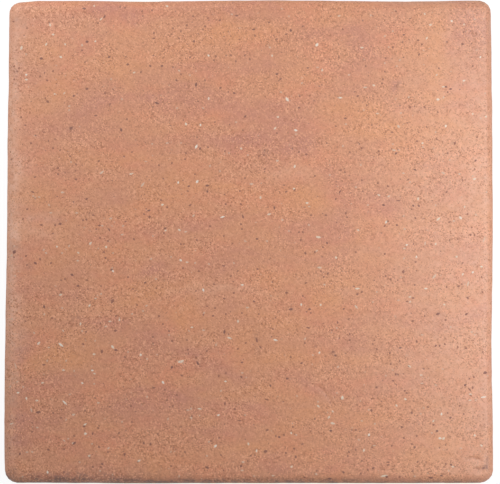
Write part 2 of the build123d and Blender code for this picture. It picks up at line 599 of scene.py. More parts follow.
# Pale grains lie thicker round the pits and dark ones towards the left side, and the back has fewer
back_share = 0.35
pale_beside_pit = 4
dark_right = 0.65
dark_left_more = 0.7
pit_rim = (0.02, 0.6)
beside_pit = (pit > pit_rim[0]) & (pit < pit_rim[1])
left_side = np.clip(0.5 - sideways, 0, 1)
keep_on(tile_mesh, "pale_share", np.where(is_back, back_share, 1.0) + pale_beside_pit * beside_pit)
keep_on(tile_mesh, "dark_share", np.where(is_back, back_share, dark_right + dark_left_more * left_side))

tile = in_scene("fired_tile", tile_mesh)


# Fired clay: an orange-pink body that the fire clouded, with fine sand and brick dust all through it
def group_tree(name, kind, inputs, outputs):
    """A node group with named sockets, and the nodes that bring its inputs in and its outputs out."""
    tree = bpy.data.node_groups.new(name, kind)
    for in_out, sockets in (("INPUT", inputs), ("OUTPUT", outputs)):
        for socket_name, socket_kind in sockets:
            tree.interface.new_socket(socket_name, in_out=in_out, socket_type="NodeSocket" + socket_kind)
    return tree, add_node(tree, "NodeGroupInput").outputs, add_node(tree, "NodeGroupOutput").inputs


def spread(tree, value, low, high, to_low=0.0, to_high=1.0):
    """A smooth step of a value from one range to another."""
    return add_node(
        tree, "ShaderNodeMapRange", interpolation_type="SMOOTHSTEP",
        Value=value, From_Min=low, From_Max=high, To_Min=to_low, To_Max=to_high,
    ).outputs["Result"]


def blended(tree, amount, under, over):
    """A mix of two colours, sockets or values, by an amount."""
    node = add_node(tree, "ShaderNodeMix", data_type="RGBA", clamp_factor=True)
    for slot, value in ((0, amount), (6, under), (7, over)):
        feed(tree, node.inputs[slot], value)
    return node.outputs[2]


def noise(tree, place, scale, detail=3.0, roughness=0.55, distortion=0.0):
    """Noise through the clay, as its value."""
    return add_node(
        tree, "ShaderNodeTexNoise",
        Vector=place, Scale=scale, Detail=detail, Roughness=roughness, Distortion=distortion,
    ).outputs["Fac"]


clay_orange = (0.650, 0.284, 0.156, 1)
clay_plum = (0.560, 0.224, 0.158, 1)
clay_ochre = (0.712, 0.305, 0.136, 1)
clay_red = (0.715, 0.258, 0.145, 1)
slip_and_sheen_colour = (0.860, 0.510, 0.370, 1)
smudge_and_shade_colour = (0.250, 0.125, 0.098, 1)
burnt_sand = (0.385, 0.132, 0.054, 1)
brick_dust = (0.485, 0.178, 0.082, 1)
pale_sand = (0.900, 0.440, 0.262, 1)
rosy_sand = (0.660, 0.262, 0.158, 1)
yellow_sand = (0.655, 0.300, 0.136, 1)

# Noises through the clay: how fine, then detail, roughness and distortion
cloud_noise = (52.0, 4.0, 0.55, 0.4)
red_noise = (60.0, 4.0, 0.6)
ragged_noise = (240.0, 3.0, 0.6)
wiping_noise = (70.0, 2.0)
mottle_noise = (430.0, 3.0, 0.65)
sand_fineness = 1450.0

# Steps of those noises, each from low to high, and what that becomes
red_step = (0.42, 0.68, 0.0, 0.6)
slip_step = (0.3, 0.7, 0.4, 1.0)
smudge_step = (0.4, 0.65, 0.15, 0.9)
wiped_step = (0.35, 0.65, 0.50, 1.05)
dust_step = (0.44, 0.74, 0.0, 0.21)
pale_step = (0.50, 0.24, 0.0, 0.13)
cloud_contrast = 3.2
cloud_balance = -1.55
mottle_height = 0.6
sand_height = 0.4

clay_colour, clay_in, clay_out = group_tree(
    "fired_clay_colour", "ShaderNodeTree",
    [("Place", "Vector"), ("Flash", "Float"), ("Slip", "Float"), ("Smudge", "Float")],
    [("Colour", "Color"), ("Grit", "Float")],
)
clay_place = clay_in["Place"]
stretched = add_node(clay_colour, "ShaderNodeMapping", Vector=clay_place, Scale=(0.45, 1.0, 1.0)).outputs[0]
redder = add_node(
    clay_colour, "ShaderNodeMapping", Vector=clay_place, Location=(0.7, 0.3, 0.2), Scale=(0.55, 1.0, 1.0),
).outputs[0]

# Clouds of the fire first, some of them painted shade, then the slip with a painted sheen and the smudges
# with painted shade over them, broken up by a ragged noise
cloud = noise(clay_colour, stretched, *cloud_noise)
cloud_shift = calculate(clay_colour, "MULTIPLY_ADD", cloud, cloud_contrast, cloud_balance)
shift = calculate(clay_colour, "ADD", clay_in["Flash"], cloud_shift)
red_cloud = spread(clay_colour, noise(clay_colour, redder, *red_noise), *red_step)
colour = blended(clay_colour, red_cloud, clay_orange, clay_red)
colour = blended(clay_colour, calculate(clay_colour, "MULTIPLY", shift, -1.0), colour, clay_plum)
colour = blended(clay_colour, shift, colour, clay_ochre)
ragged = noise(clay_colour, clay_place, *ragged_noise)
for mark, step, mark_colour in (("Slip", slip_step, slip_and_sheen_colour), ("Smudge", smudge_step, smudge_and_shade_colour)):
    amount = calculate(clay_colour, "MULTIPLY", clay_in[mark], spread(clay_colour, ragged, *step))
    colour = blended(clay_colour, amount, colour, mark_colour)

# Sand shows more where less slip was wiped over it. A kind of sand is the draw that picks its grains,
# between which numbers it comes in, its strength and its colour.
wiped = spread(clay_colour, noise(clay_colour, stretched, *wiping_noise), *wiped_step)
mottle = noise(clay_colour, clay_place, *mottle_noise)
colour = blended(clay_colour, spread(clay_colour, mottle, *dust_step), colour, brick_dust)
colour = blended(clay_colour, spread(clay_colour, mottle, *pale_step), colour, pale_sand)
sand = add_node(clay_colour, "ShaderNodeTexVoronoi", Vector=clay_place, Scale=sand_fineness)
sand_draw = add_node(clay_colour, "ShaderNodeSeparateColor", Color=sand.outputs["Color"]).outputs
sand_kinds = [
    (2, 0.50, 1.00, 0.20, rosy_sand),
    (2, 0.50, 0.00, 0.16, yellow_sand),
    (0, 0.55, 1.05, 0.88, burnt_sand),
    (1, 0.58, 1.05, 0.80, pale_sand),
]
for draw, low, high, most, sand_colour in sand_kinds:
    drawn = spread(clay_colour, sand_draw[draw], low, high, 0.0, most)
    colour = blended(clay_colour, calculate(clay_colour, "MULTIPLY", drawn, wiped), colour, sand_colour)
sand_grit = calculate(clay_colour, "MULTIPLY", sand_draw[1], sand_height)
feed(clay_colour, clay_out["Colour"], colour)
feed(clay_colour, clay_out["Grit"], calculate(clay_colour, "MULTIPLY_ADD", mottle, mottle_height, sand_grit))


def kept_on_piece(tree, name):
    """A number that the mesh carries for each vertex, as a material reads it."""
    return add_node(tree, "ShaderNodeAttribute", attribute_name=name).outputs["Fac"]


def clay_material(name, **marks):
    """A new material with its place on the piece, the clay's colour and a shader to finish. Marks say
    which numbers kept on the piece the colour reads."""
    material = bpy.data.materials.new(name)
    tree = emptied_tree(material)
    place = add_node(tree, "ShaderNodeTexCoord").outputs["Object"]
    kept = {mark: kept_on_piece(tree, kept_name) for mark, kept_name in marks.items()}
    clay = add_node(tree, "ShaderNodeGroup", node_tree=clay_colour, Place=place, **kept).outputs
    shader = add_node(tree, "ShaderNodeBsdfPrincipled")
    add_node(tree, "ShaderNodeOutputMaterial", Surface=shader.outputs[0])
    return material, tree, place, clay, shader.inputs


def bumped(tree, height, finish, distance, strength):
    """Gives a shader a fine relief of one height."""
    bump = add_node(tree, "ShaderNodeBump", Strength=strength, Distance=distance, Height=height)
    feed(tree, finish["Normal"], bump.outputs[0])


# Painted shade: the inside of each pit is darkened towards this colour, by the pit number kept on the tile
painted_pit_shade = (0.200, 0.085, 0.062, 1)
wax_weight = 1.0
wax_roughness = 0.45
wax_smooths = -0.25
clay_noise = 60.0
clay_roughness = (0.3, 0.7, 0.75, 0.87)
pit_shade_step = (0.1, 0.9, 0.0, 0.75)
skin_grit = 0.25 * mm
skin_bump = 0.5

fired_clay, clay_tree, clay_at, clay_body, clay_finish = clay_material(
    "fired_clay", Flash="kiln_flash_and_shade", Slip="pale_slip_and_sheen", Smudge="smudge_and_shade",
)
sealed = kept_on_piece(clay_tree, "sealed")
# Painted shade in the pits, strongest at their middles
pit_shading = spread(clay_tree, kept_on_piece(clay_tree, "pit"), *pit_shade_step)
rough = spread(clay_tree, noise(clay_tree, clay_at, clay_noise), *clay_roughness)
feed(clay_tree, clay_finish["Base Color"], blended(clay_tree, pit_shading, clay_body["Colour"], painted_pit_shade))
feed(clay_tree, clay_finish["Roughness"], calculate(clay_tree, "MULTIPLY_ADD", sealed, wax_smooths, rough))
feed(clay_tree, clay_finish["Coat Weight"], calculate(clay_tree, "MULTIPLY", sealed, wax_weight))
feed(clay_tree, clay_finish["Coat Roughness"], wax_roughness)
bumped(clay_tree, clay_body["Grit"], clay_finish, skin_grit, skin_bump)
tile_mesh.materials.append(fired_clay)

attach(tile, "root")
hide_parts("tile")

# Pale grains: crushed quartz and old brick mixed into the clay, worn flush with the face. The plain ones
# are where the picture shows them, and hundreds of smaller ones are strewn through the skin.
chip_kinds = 6
chip_seed = 70
chip_wobble = 0.34
chip_sunk = 0.25  # share of a chip's half thickness by which its middle lies below the skin
chip_tilt = 0.06
footprint = 1.08  # how much wider a chip's middle is than what shows of it

grain_tree, grain_in, grain_out = group_tree(
    "grains_in_the_skin", "GeometryNodeTree",
    [
        ("Tile Skin", "Geometry"), ("Picked Grains", "Object"), ("Share Name", "String"),
        ("Grains per Square Metre", "Float"), ("Shortest", "Float"), ("Longest", "Float"),
        ("Crowding of Small", "Float"), ("Strongest Tone", "Float"), ("Thickness", "Float"),
        ("Seed", "Int"), ("Material", "Material"),
    ],
    [("Grains", "Geometry")],
)


def random_number(low, high, offset):
    """A draw for each grain between two numbers, its seed set apart from the other draws."""
    seed = calculate(grain_tree, "ADD", grain_in["Seed"], float(offset))
    node = add_node(grain_tree, "FunctionNodeRandomValue", data_type="FLOAT", Seed=seed)
    node.inputs[2].default_value = low
    node.inputs[3].default_value = high
    return node.outputs[1]


def read_number(name):
    """A number stored on each point, by its name or by a socket that holds the name."""
    return add_node(grain_tree, "GeometryNodeInputNamedAttribute", data_type="FLOAT", Name=name).outputs[0]


def on_the_skin(kind):
    """What the nearest place of the tile's skin has for a vector, such as its position or its normal."""
    return add_node(
        grain_tree, "GeometryNodeSampleNearestSurface", data_type="FLOAT_VECTOR",
        Mesh=grain_in["Tile Skin"], Value=add_node(grain_tree, kind).outputs[0],
    ).outputs["Value"]


# Strewn grains: small ones are commoner than large ones, and strong tones rarer than faint ones
faint_crowding = 1.5
strewn_roundness = (0.5, 1.0)
share = read_number(grain_in["Share Name"])
density = calculate(grain_tree, "MULTIPLY", grain_in["Grains per Square Metre"], share)
strewn = add_node(
    grain_tree, "GeometryNodeDistributePointsOnFaces", distribute_method="RANDOM",
    Mesh=grain_in["Tile Skin"], Density=density, Seed=grain_in["Seed"],
).outputs["Points"]
length_share = calculate(grain_tree, "POWER", random_number(0.0, 1.0, 1), grain_in["Crowding of Small"])
length_range = calculate(grain_tree, "SUBTRACT", grain_in["Longest"], grain_in["Shortest"])
strewn_length = calculate(grain_tree, "MULTIPLY_ADD", length_range, length_share, grain_in["Shortest"])
strewn_width = calculate(grain_tree, "MULTIPLY", strewn_length, random_number(*strewn_roundness, 2))
tone_draw = calculate(grain_tree, "POWER", random_number(0.0, 1.0, 3), faint_crowding)
strewn_tone = calculate(grain_tree, "MULTIPLY", tone_draw, grain_in["Strongest Tone"])
strewn_numbers = {
    "grain_length": strewn_length,
    "grain_width": strewn_width,
    "grain_turn": random_number(0.0, math.pi, 4),
    "grain_tone": strewn_tone,
}
for name, value in strewn_numbers.items():
    strewn = add_node(
        grain_tree, "GeometryNodeStoreNamedAttribute", data_type="FLOAT", domain="POINT",
        Geometry=strewn, Name=name, Value=value,
    ).outputs[0]

# Picked grains bring their own length, width, turn and tone, and are set down on the skin
picked = add_node(grain_tree, "GeometryNodeObjectInfo", Object=grain_in["Picked Grains"])
picked = add_node(grain_tree, "GeometryNodeMeshToPoints", Mesh=picked.outputs["Geometry"])
picked = add_node(
    grain_tree, "GeometryNodeSetPosition",
    Geometry=picked.outputs[0], Position=on_the_skin("GeometryNodeInputPosition"),
)
all_points = add_node(grain_tree, "GeometryNodeJoinGeometry")
grain_tree.links.new(strewn, all_points.inputs[0])
grain_tree.links.new(picked.outputs[0], all_points.inputs[0])

# A few kinds of chip, each a coarse ball knocked out of shape
chips = add_node(grain_tree, "GeometryNodeJoinGeometry")
for kind in range(chip_kinds):
    ball = add_node(grain_tree, "GeometryNodeMeshIcoSphere", Radius=1.0, Subdivisions=1)
    knocks = add_node(
        grain_tree, "FunctionNodeRandomValue", data_type="FLOAT_VECTOR",
        Min=(-chip_wobble,) * 3, Max=(chip_wobble,) * 3, Seed=chip_seed + kind,
    )
    chip = add_node(
        grain_tree, "GeometryNodeSetPosition", Geometry=ball.outputs["Mesh"], Offset=knocks.outputs[0],
    )
    chip = add_node(
        grain_tree, "GeometryNodeTransform", Geometry=chip.outputs[0], Translation=(0, 0, -chip_sunk),
    )
    one_chip = add_node(grain_tree, "GeometryNodeGeometryToInstance")
    grain_tree.links.new(chip.outputs[0], one_chip.inputs[0])
    grain_tree.links.new(one_chip.outputs[0], chips.inputs[0])

# Each point gets a chip, laid flat on the skin, turned about its normal and sized
half_length = calculate(grain_tree, "MULTIPLY", read_number("grain_length"), 0.5)
half_width = calculate(grain_tree, "MULTIPLY", read_number("grain_width"), 0.5)
half_thickness = calculate(grain_tree, "MULTIPLY", half_width, grain_in["Thickness"])
chip_scale = add_node(grain_tree, "ShaderNodeCombineXYZ", X=half_length, Y=half_width, Z=half_thickness)
chip_turn = add_node(
    grain_tree, "ShaderNodeCombineXYZ", X=random_number(-chip_tilt, chip_tilt, 5),
    Y=random_number(-chip_tilt, chip_tilt, 6), Z=read_number("grain_turn"),
)
laid_flat = add_node(
    grain_tree, "FunctionNodeAlignRotationToVector", axis="Z", Vector=on_the_skin("GeometryNodeInputNormal"),
)
turned = add_node(grain_tree, "FunctionNodeRotateRotation", rotation_space="LOCAL")
grain_tree.links.new(laid_flat.outputs[0], turned.inputs[0])
grain_tree.links.new(chip_turn.outputs[0], turned.inputs[1])
placed = add_node(
    grain_tree, "GeometryNodeInstanceOnPoints", Points=all_points.outputs[0], Instance=chips.outputs[0],
    Pick_Instance=True, Rotation=turned.outputs[0], Scale=chip_scale.outputs[0],
)
real = add_node(grain_tree, "GeometryNodeRealizeInstances", Geometry=placed.outputs[0])
painted = add_node(
    grain_tree, "GeometryNodeSetMaterial", Geometry=real.outputs[0], Material=grain_in["Material"],
)
grain_tree.links.new(painted.outputs[0], grain_out["Grains"])


# How a round grain varies about its size, and how any picked grain does about its tone
round_length = (0.9, 1.3)
round_width = (0.75, 1.0)
tone_share = (0.75, 1.15)


def grain_piece(name, material, picked, settings):
    """Sets one kind of grain into the tile's skin and returns its piece. Picked grains come in lists with
    one tone each, and with the size in pixels of those that bring no shape of their own."""
    dice = np.random.default_rng(settings["Seed"])
    grains = []
    for tone, size, listed in picked:
        for column, row, *shape in listed:
            round_shape = [size * dice.uniform(*share) for share in (round_length, round_width)]
            round_shape.append(dice.uniform(0, 180))
            length, width, turn = shape or round_shape
            grains.append((column, row, length, width, turn, tone * dice.uniform(*tone_share)))
    columns, rows, lengths, widths, turns, tones = np.array(grains).T
    points = bpy.data.meshes.new(name + "_picked")
    points.from_pydata([(*seen_at(column, row), worn_height) for column, row in zip(columns, rows)], [], [])
    keep_on(points, "grain_length", lengths * pixel * footprint)
    keep_on(points, "grain_width", widths * pixel * footprint)
    keep_on(points, "grain_turn", np.radians(turns))
    keep_on(points, "grain_tone", tones)
    picked_here = in_scene(name + "_picked", points)
    piece = in_scene(name, tile_mesh.copy())
    modifier = piece.modifiers.new(name, "NODES")
    modifier.node_group = grain_tree
    values = {"Picked Grains": picked_here, "Material": material, **settings}
    for item in grain_tree.interface.items_tree:
        if item.in_out == "INPUT" and item.name in values:
            modifier[item.identifier] = values[item.name]
    graph = bpy.context.evaluated_depsgraph_get()
    mesh = bpy.data.meshes.new_from_object(piece.evaluated_get(graph))
    piece.modifiers.remove(modifier)
    bpy.data.objects.remove(picked_here)
    for vertex in mesh.vertices:
        vertex.co.z = max(vertex.co.z, 0)
    mesh.name = name
    piece.data = mesh
    return piece


tone_stops = (0.0, 0.35, 0.7, 1.0)
veil_noise = (900.0, 2.0)
veil_thickness = (0.15, 1.0)
grain_roughness = 0.5
grain_grit = 0.15 * mm
grain_bump = 0.4


def grain_material(name, tones, veil_low, veil_high):
    """A grain with its own tone, from faint to strong, partly veiled by a skin of clay."""
    material, tree, place, clay, finish = clay_material(name)
    ramp = add_node(tree, "ShaderNodeValToRGB", Fac=kept_on_piece(tree, "grain_tone"))
    stops = ramp.color_ramp.elements
    for position in tone_stops[1:-1]:
        stops.new(position)
    for stop, position, tone in zip(stops, tone_stops, tones):
        stop.position = position
        stop.color = tone
    veil = spread(tree, noise(tree, place, *veil_noise), veil_low, veil_high, *veil_thickness)
    feed(tree, finish["Base Color"], blended(tree, veil, ramp.outputs["Color"], clay["Colour"]))
    feed(tree, finish["Roughness"], grain_roughness)
    bumped(tree, clay["Grit"], finish, grain_grit, grain_bump)
    return material


# White quartz and buff brick as columns, rows, lengths, widths and turns. The round ones and the crumbs
# have a place only.
quartz_grains = [
    (101, 18.9, 3.6, 1.4, 45), (430.6, 24.7, 3, 2, 5), (427, 38, 3.4, 1.5, 55), (317, 44.7, 3.6, 2.8, 60),
    (362, 47.4, 3.4, 1.7, 0), (21.2, 47.7, 4, 2.4, 75), (480.7, 57, 2.4, 1.5, 70),
    (134, 72.5, 2.8, 1.8, 20), (26, 79.5, 3, 1.8, 0), (464, 80.6, 3, 1.6, 15), (443.5, 86.7, 3.2, 1.6, 5),
    (54.7, 94, 2.8, 1.6, -10), (340, 97.6, 5, 1.7, -3), (208.6, 98.4, 2.8, 1.8, 90),
    (287, 99.2, 4.6, 2.8, -55), (438, 99.4, 3, 2.4, 0), (275, 128.3, 3.6, 1.5, 45),
    (295.6, 130.3, 3.4, 2.2, -15), (196.3, 146.7, 4.2, 2.2, 65), (241, 148.5, 2.6, 1.8, -30),
    (294.8, 166.5, 3.2, 2, 75), (131.2, 173.8, 4, 1.8, 15), (197.2, 181.7, 3.2, 2.4, 55),
    (260.7, 197.6, 3, 2, 85), (418.4, 198.8, 3.2, 2, 85), (307, 203, 2.8, 1.8, 0),
    (465, 206.8, 2.4, 1.6, 80), (269, 214.4, 4, 2, 20), (222.5, 217, 4.6, 1.5, 15),
    (460.6, 217.8, 3.4, 2.4, -45), (438.7, 219, 5, 1.9, 40), (386.4, 222, 3.6, 2, 60),
    (165.4, 230.6, 2.4, 1.7, 30), (318.4, 237.2, 5, 2.4, -8), (90.3, 243.5, 3.4, 2.2, 50),
    (406.8, 245, 2.6, 1.6, 10), (416.7, 257.2, 2.6, 1.8, 90), (180.5, 260.3, 2.8, 2.4, -30),
    (187, 262.2, 3, 1.5, 0), (112.7, 271, 2.8, 1.8, -60), (242.2, 285, 3, 1.8, 0),
    (357.4, 288.7, 4.4, 1.7, 3), (426, 288.7, 3.4, 1.6, -5), (203.2, 290, 3.2, 2, -70),
    (60.2, 294.8, 3.2, 2.2, 15), (410.2, 297, 2.6, 1.7, 30), (410.2, 302, 2.6, 1.7, 60),
    (89.4, 305.8, 3, 1.7, 60), (238, 321.4, 3.4, 2, 90), (109.8, 321.5, 3.2, 1.4, 0),
    (80.4, 324, 3.4, 1.6, 80), (191.8, 327.4, 2.6, 1.5, 10), (229.2, 338, 4.4, 1.8, -20),
    (275.4, 340.2, 4.2, 2, -15), (38.5, 343.5, 3.6, 2.2, 45), (60.7, 345, 6, 2.2, -38),
    (112.4, 347, 4, 2.4, -50), (180.7, 361.7, 5.6, 2.8, 15), (409.5, 366.4, 3.4, 2, -40),
    (63.2, 370.3, 2.8, 1.8, 0), (92, 370.6, 2.6, 1.8, 0), (94.3, 373.8, 2.8, 1.4, -20),
    (421.3, 375.3, 2.8, 1.7, 0), (162.8, 382.5, 3.2, 2.2, -50), (42.4, 383.2, 3, 1.8, 0),
    (470.6, 394.5, 3, 1.8, -10), (483.6, 397.3, 4.6, 1.6, 5), (342.5, 398, 3.8, 2.9, 80),
    (26, 398.6, 3.2, 1.8, -80), (470.2, 400.4, 3, 1.3, 5), (36.3, 400.8, 3, 2, 0),
    (64.6, 403, 6.6, 1.7, -45), (396.5, 405.6, 2.6, 1.8, -50), (318.2, 406.3, 3.4, 1.8, -40),
    (199.7, 409, 4.6, 1.5, -5), (332.7, 411.6, 2.6, 1.8, -40), (441.7, 414.3, 2.8, 1.9, 80),
    (329, 417.5, 3.6, 2, 50), (332.6, 423.6, 4.4, 2.4, -15), (85, 424.6, 3.8, 1.6, 25),
    (85, 433.8, 3, 2.6, 0), (369, 435.4, 3.2, 2.2, 70), (440, 438.5, 3.4, 2.4, -10),
    (443.8, 438.8, 3.2, 2.4, 60), (73, 443.3, 2.4, 1.6, 40), (248.3, 444, 3, 1.8, -75),
    (215.4, 446.5, 3.2, 2.4, 45), (364, 450.6, 3.2, 2.1, 75), (256.6, 451, 2.8, 1.7, 80),
    (89, 456.2, 2.8, 2, 40), (138.8, 461, 3.4, 1.8, 30), (453, 467, 3, 1.7, -15),
    (384.2, 476.6, 6.6, 1.9, 10),
]
round_quartz = [
    (94, 4.5), (167, 4.6), (425, 13.6), (452, 20.8), (464.4, 24.4), (50, 24.8), (53, 34.3), (95.2, 41.3),
    (65, 44.1), (46, 44.2), (208.6, 55.3), (272.2, 55.5), (60.7, 56.8), (322.3, 70), (26, 74.6),
    (374, 85.1), (473, 113.8), (487, 116.5), (278, 116.8), (186, 124), (200.6, 125), (446, 126),
    (422.7, 143), (474.7, 179), (178.2, 182.5), (294, 188.7), (379, 195), (162.3, 204.8), (179.4, 230),
    (358.2, 230), (436, 244), (56.9, 246.7), (106.2, 247), (78.3, 252.7), (457, 256.8), (336.2, 257.6),
    (482, 266.6), (473, 272.4), (463, 274.4), (444.6, 304.5), (301.4, 304.7), (320.8, 305), (119.3, 320.2),
    (319.5, 352.8), (93.8, 354.4), (140.7, 355), (225.5, 381.4), (82.4, 383.2), (17.6, 393), (405.6, 399.3),
    (73.2, 414.8), (218.3, 415.4), (433.5, 421.3), (291.3, 433.3), (475, 435.6), (481.8, 445.7),
    (291.6, 467), (47.4, 472.6),
]
brick_grains = [
    (339.2, 15.7, 3, 1.6, 20), (82, 45, 2.6, 1.8, 90), (317.6, 67.2, 3.2, 1.5, 0),
    (179, 70.5, 2.4, 1.5, -40), (349, 74.8, 2.4, 1.4, 0), (436.8, 74.8, 2.6, 1.6, 45),
    (365.2, 87.3, 3.8, 1.6, 0), (64.2, 93, 3.4, 1.4, 50), (409, 97, 2.4, 1.6, 70),
    (443.8, 97.4, 2.4, 1.6, 80), (203, 108, 2.8, 1.5, -40), (377.4, 113.5, 3, 1.6, 0),
    (398.5, 126.3, 3.4, 2.4, -55), (394, 150.2, 3.8, 1.8, -10), (277.2, 160.8, 2.8, 2, 0),
    (145.8, 161.4, 3, 1.3, 0), (101.7, 172.5, 5.4, 1.8, 40), (443.3, 173, 4, 2.4, -25),
    (403.5, 173.2, 2.8, 1.7, 0), (459.6, 174, 2.8, 1.5, 0), (410.2, 182.2, 2.6, 1.4, 50),
    (251.4, 184, 3.8, 2, 0), (142.6, 184.7, 5.4, 2, 50), (62.3, 192.5, 3.4, 2.2, 0),
    (388.8, 196.3, 2.8, 1.9, 25), (309.2, 206.6, 2.4, 1.5, 0), (50.7, 212.8, 3, 1.6, 0),
    (76.6, 213, 3, 1.7, 0), (476.4, 214.7, 2.8, 1.3, -40), (193.5, 215.8, 3.4, 1.5, 45),
    (110.6, 218.5, 3, 1.8, 20), (282.4, 220, 2.5, 1.5, 0), (102.2, 225.8, 2.4, 1.6, 0),
    (185.6, 231.8, 2.8, 1.5, 15), (122, 234.6, 3, 1.6, 20), (484.5, 239.7, 5.8, 1.5, 70),
    (425.4, 243.5, 3.8, 1.4, 85), (404.6, 248.4, 2.8, 1.5, 10), (43.7, 250, 2.6, 2, 50),
    (316.8, 250.8, 2.8, 1.5, 35), (10.3, 255.4, 2.6, 1.8, 40), (404.3, 258.4, 2.4, 1.6, 50),
    (77.5, 260.8, 2.6, 1.7, 0), (319.5, 267.7, 4.4, 2, -5), (434.6, 276.5, 6.6, 2, 50),
    (468.4, 283.6, 6, 1.6, 72), (324.4, 284.7, 2.6, 1.8, 0), (95.4, 298.6, 2.4, 1.6, 0),
    (398.8, 300.4, 3, 1.4, 0), (146.4, 305.8, 2.8, 1.6, 30), (356.3, 307, 4.6, 2, -50),
    (247.4, 307.7, 3.4, 1.8, 0), (44.2, 314.5, 2.3, 1.7, 90), (105.7, 326.6, 2.8, 1.4, 20),
    (203.5, 330.3, 3, 1.4, 0), (62.9, 330.8, 3, 1.4, -60), (422.2, 335, 3, 1.6, 0),
    (305, 339, 2.8, 1.6, 50), (48.5, 347.6, 2.4, 1.5, 0), (15.2, 366, 6, 1.3, -72),
    (242.2, 373, 2.7, 1.5, 0), (422, 383.4, 3, 1.3, 0), (70, 394.4, 2.4, 1.5, 30), (147, 397, 3, 1.7, 85),
    (476.6, 399.4, 3, 1.3, 0), (98, 403, 3, 1.6, 0), (187.8, 410.3, 3, 1.4, 0), (31, 410.5, 5, 1.6, -73),
    (191.3, 418, 2.7, 1.8, -80), (10.8, 424, 3.6, 1.6, 20), (37, 427.8, 2.4, 1.5, 0),
    (64, 440.8, 2.6, 1.4, -40), (374, 446, 3, 1.4, 0), (108.4, 448.4, 3, 1.5, 40),
    (461.2, 448.4, 2.6, 1.4, 0), (26.6, 452.5, 2.8, 1.8, 0), (243, 462.3, 3, 2, 0), (242, 470.7, 3, 1.4, 0),
    (316.2, 474.5, 2.6, 1.8, -30), (273, 476.3, 3, 1.5, 0),
]
brick_crumbs = [
    (371, 15), (475, 19), (385, 36), (26, 54), (400, 60), (397, 66), (302, 83), (364, 110), (236, 122),
    (346, 124), (436, 132), (248, 155), (450, 160), (210, 166), (436, 205), (309, 225), (123, 226),
    (405, 229), (153, 236), (245, 241), (171, 257), (373, 302), (204, 313), (34, 333), (333, 412),
    (179, 477), (22, 478), (100, 471), (92, 444), (56, 65), (111, 79), (122, 99), (69, 106), (69, 110),
    (152, 144), (71, 162), (281, 92), (181, 143), (229, 153), (167, 143), (282, 8), (232, 14), (289, 16),
    (270, 47), (190, 75), (177, 108), (296, 134), (393, 31), (389, 47), (385, 63), (463, 83), (396, 99),
    (401, 113), (399, 150), (481, 118), (423, 147), (361, 165), (393, 144), (343, 146), (477, 50),
    (486, 93), (49, 205), (33, 196), (35, 198), (39, 197), (46, 253), (113, 253), (69, 246), (62, 253),
    (151, 259), (112, 268), (156, 279), (15, 276), (62, 308), (132, 314), (11, 319), (143, 311), (101, 294),
    (14, 246), (195, 263), (209, 264), (289, 231), (330, 175), (220, 171), (234, 263), (267, 241),
    (473, 176), (404, 216), (401, 277), (377, 292), (368, 205), (356, 187), (488, 192), (454, 221),
    (82, 331), (95, 341), (128, 352), (147, 359), (74, 371), (47, 361), (66, 361), (94, 384), (17, 382),
    (9, 387), (23, 387), (66, 420), (122, 422), (68, 439), (32, 452), (79, 462), (169, 335), (189, 331),
    (216, 345), (313, 355), (221, 391), (297, 396), (318, 402), (191, 409), (168, 419), (245, 415),
    (296, 435), (331, 431), (209, 442), (171, 452), (207, 456), (254, 477), (337, 328), (451, 327),
    (475, 335), (472, 332), (338, 367), (393, 370), (386, 376), (443, 369), (436, 385), (337, 393),
    (490, 376), (369, 410), (362, 421), (375, 424), (421, 414), (424, 408), (432, 433), (359, 440),
    (415, 477), (449, 471),
]

pale_grain = grain_material(
    "pale_grain",
    [(0.62, 0.38, 0.27, 1), (0.68, 0.48, 0.36, 1), (0.80, 0.69, 0.55, 1), (0.90, 0.87, 0.80, 1)],
    0.55, 0.80,
)
picked_pale = [
    (0.78, 2.4, quartz_grains),
    (0.76, 2.3, round_quartz),
    (0.44, 2.2, brick_grains),
    (0.32, 2.0, brick_crumbs),
]
pale_grains = grain_piece("pale_grains", pale_grain, picked_pale, {
    "Share Name": "pale_share", "Grains per Square Metre": 6000.0, "Shortest": 0.5 * mm, "Longest": 1.2 * mm,
    "Crowding of Small": 2.0, "Strongest Tone": 0.45, "Thickness": 0.16, "Seed": 5,
})
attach(pale_grains, "root")

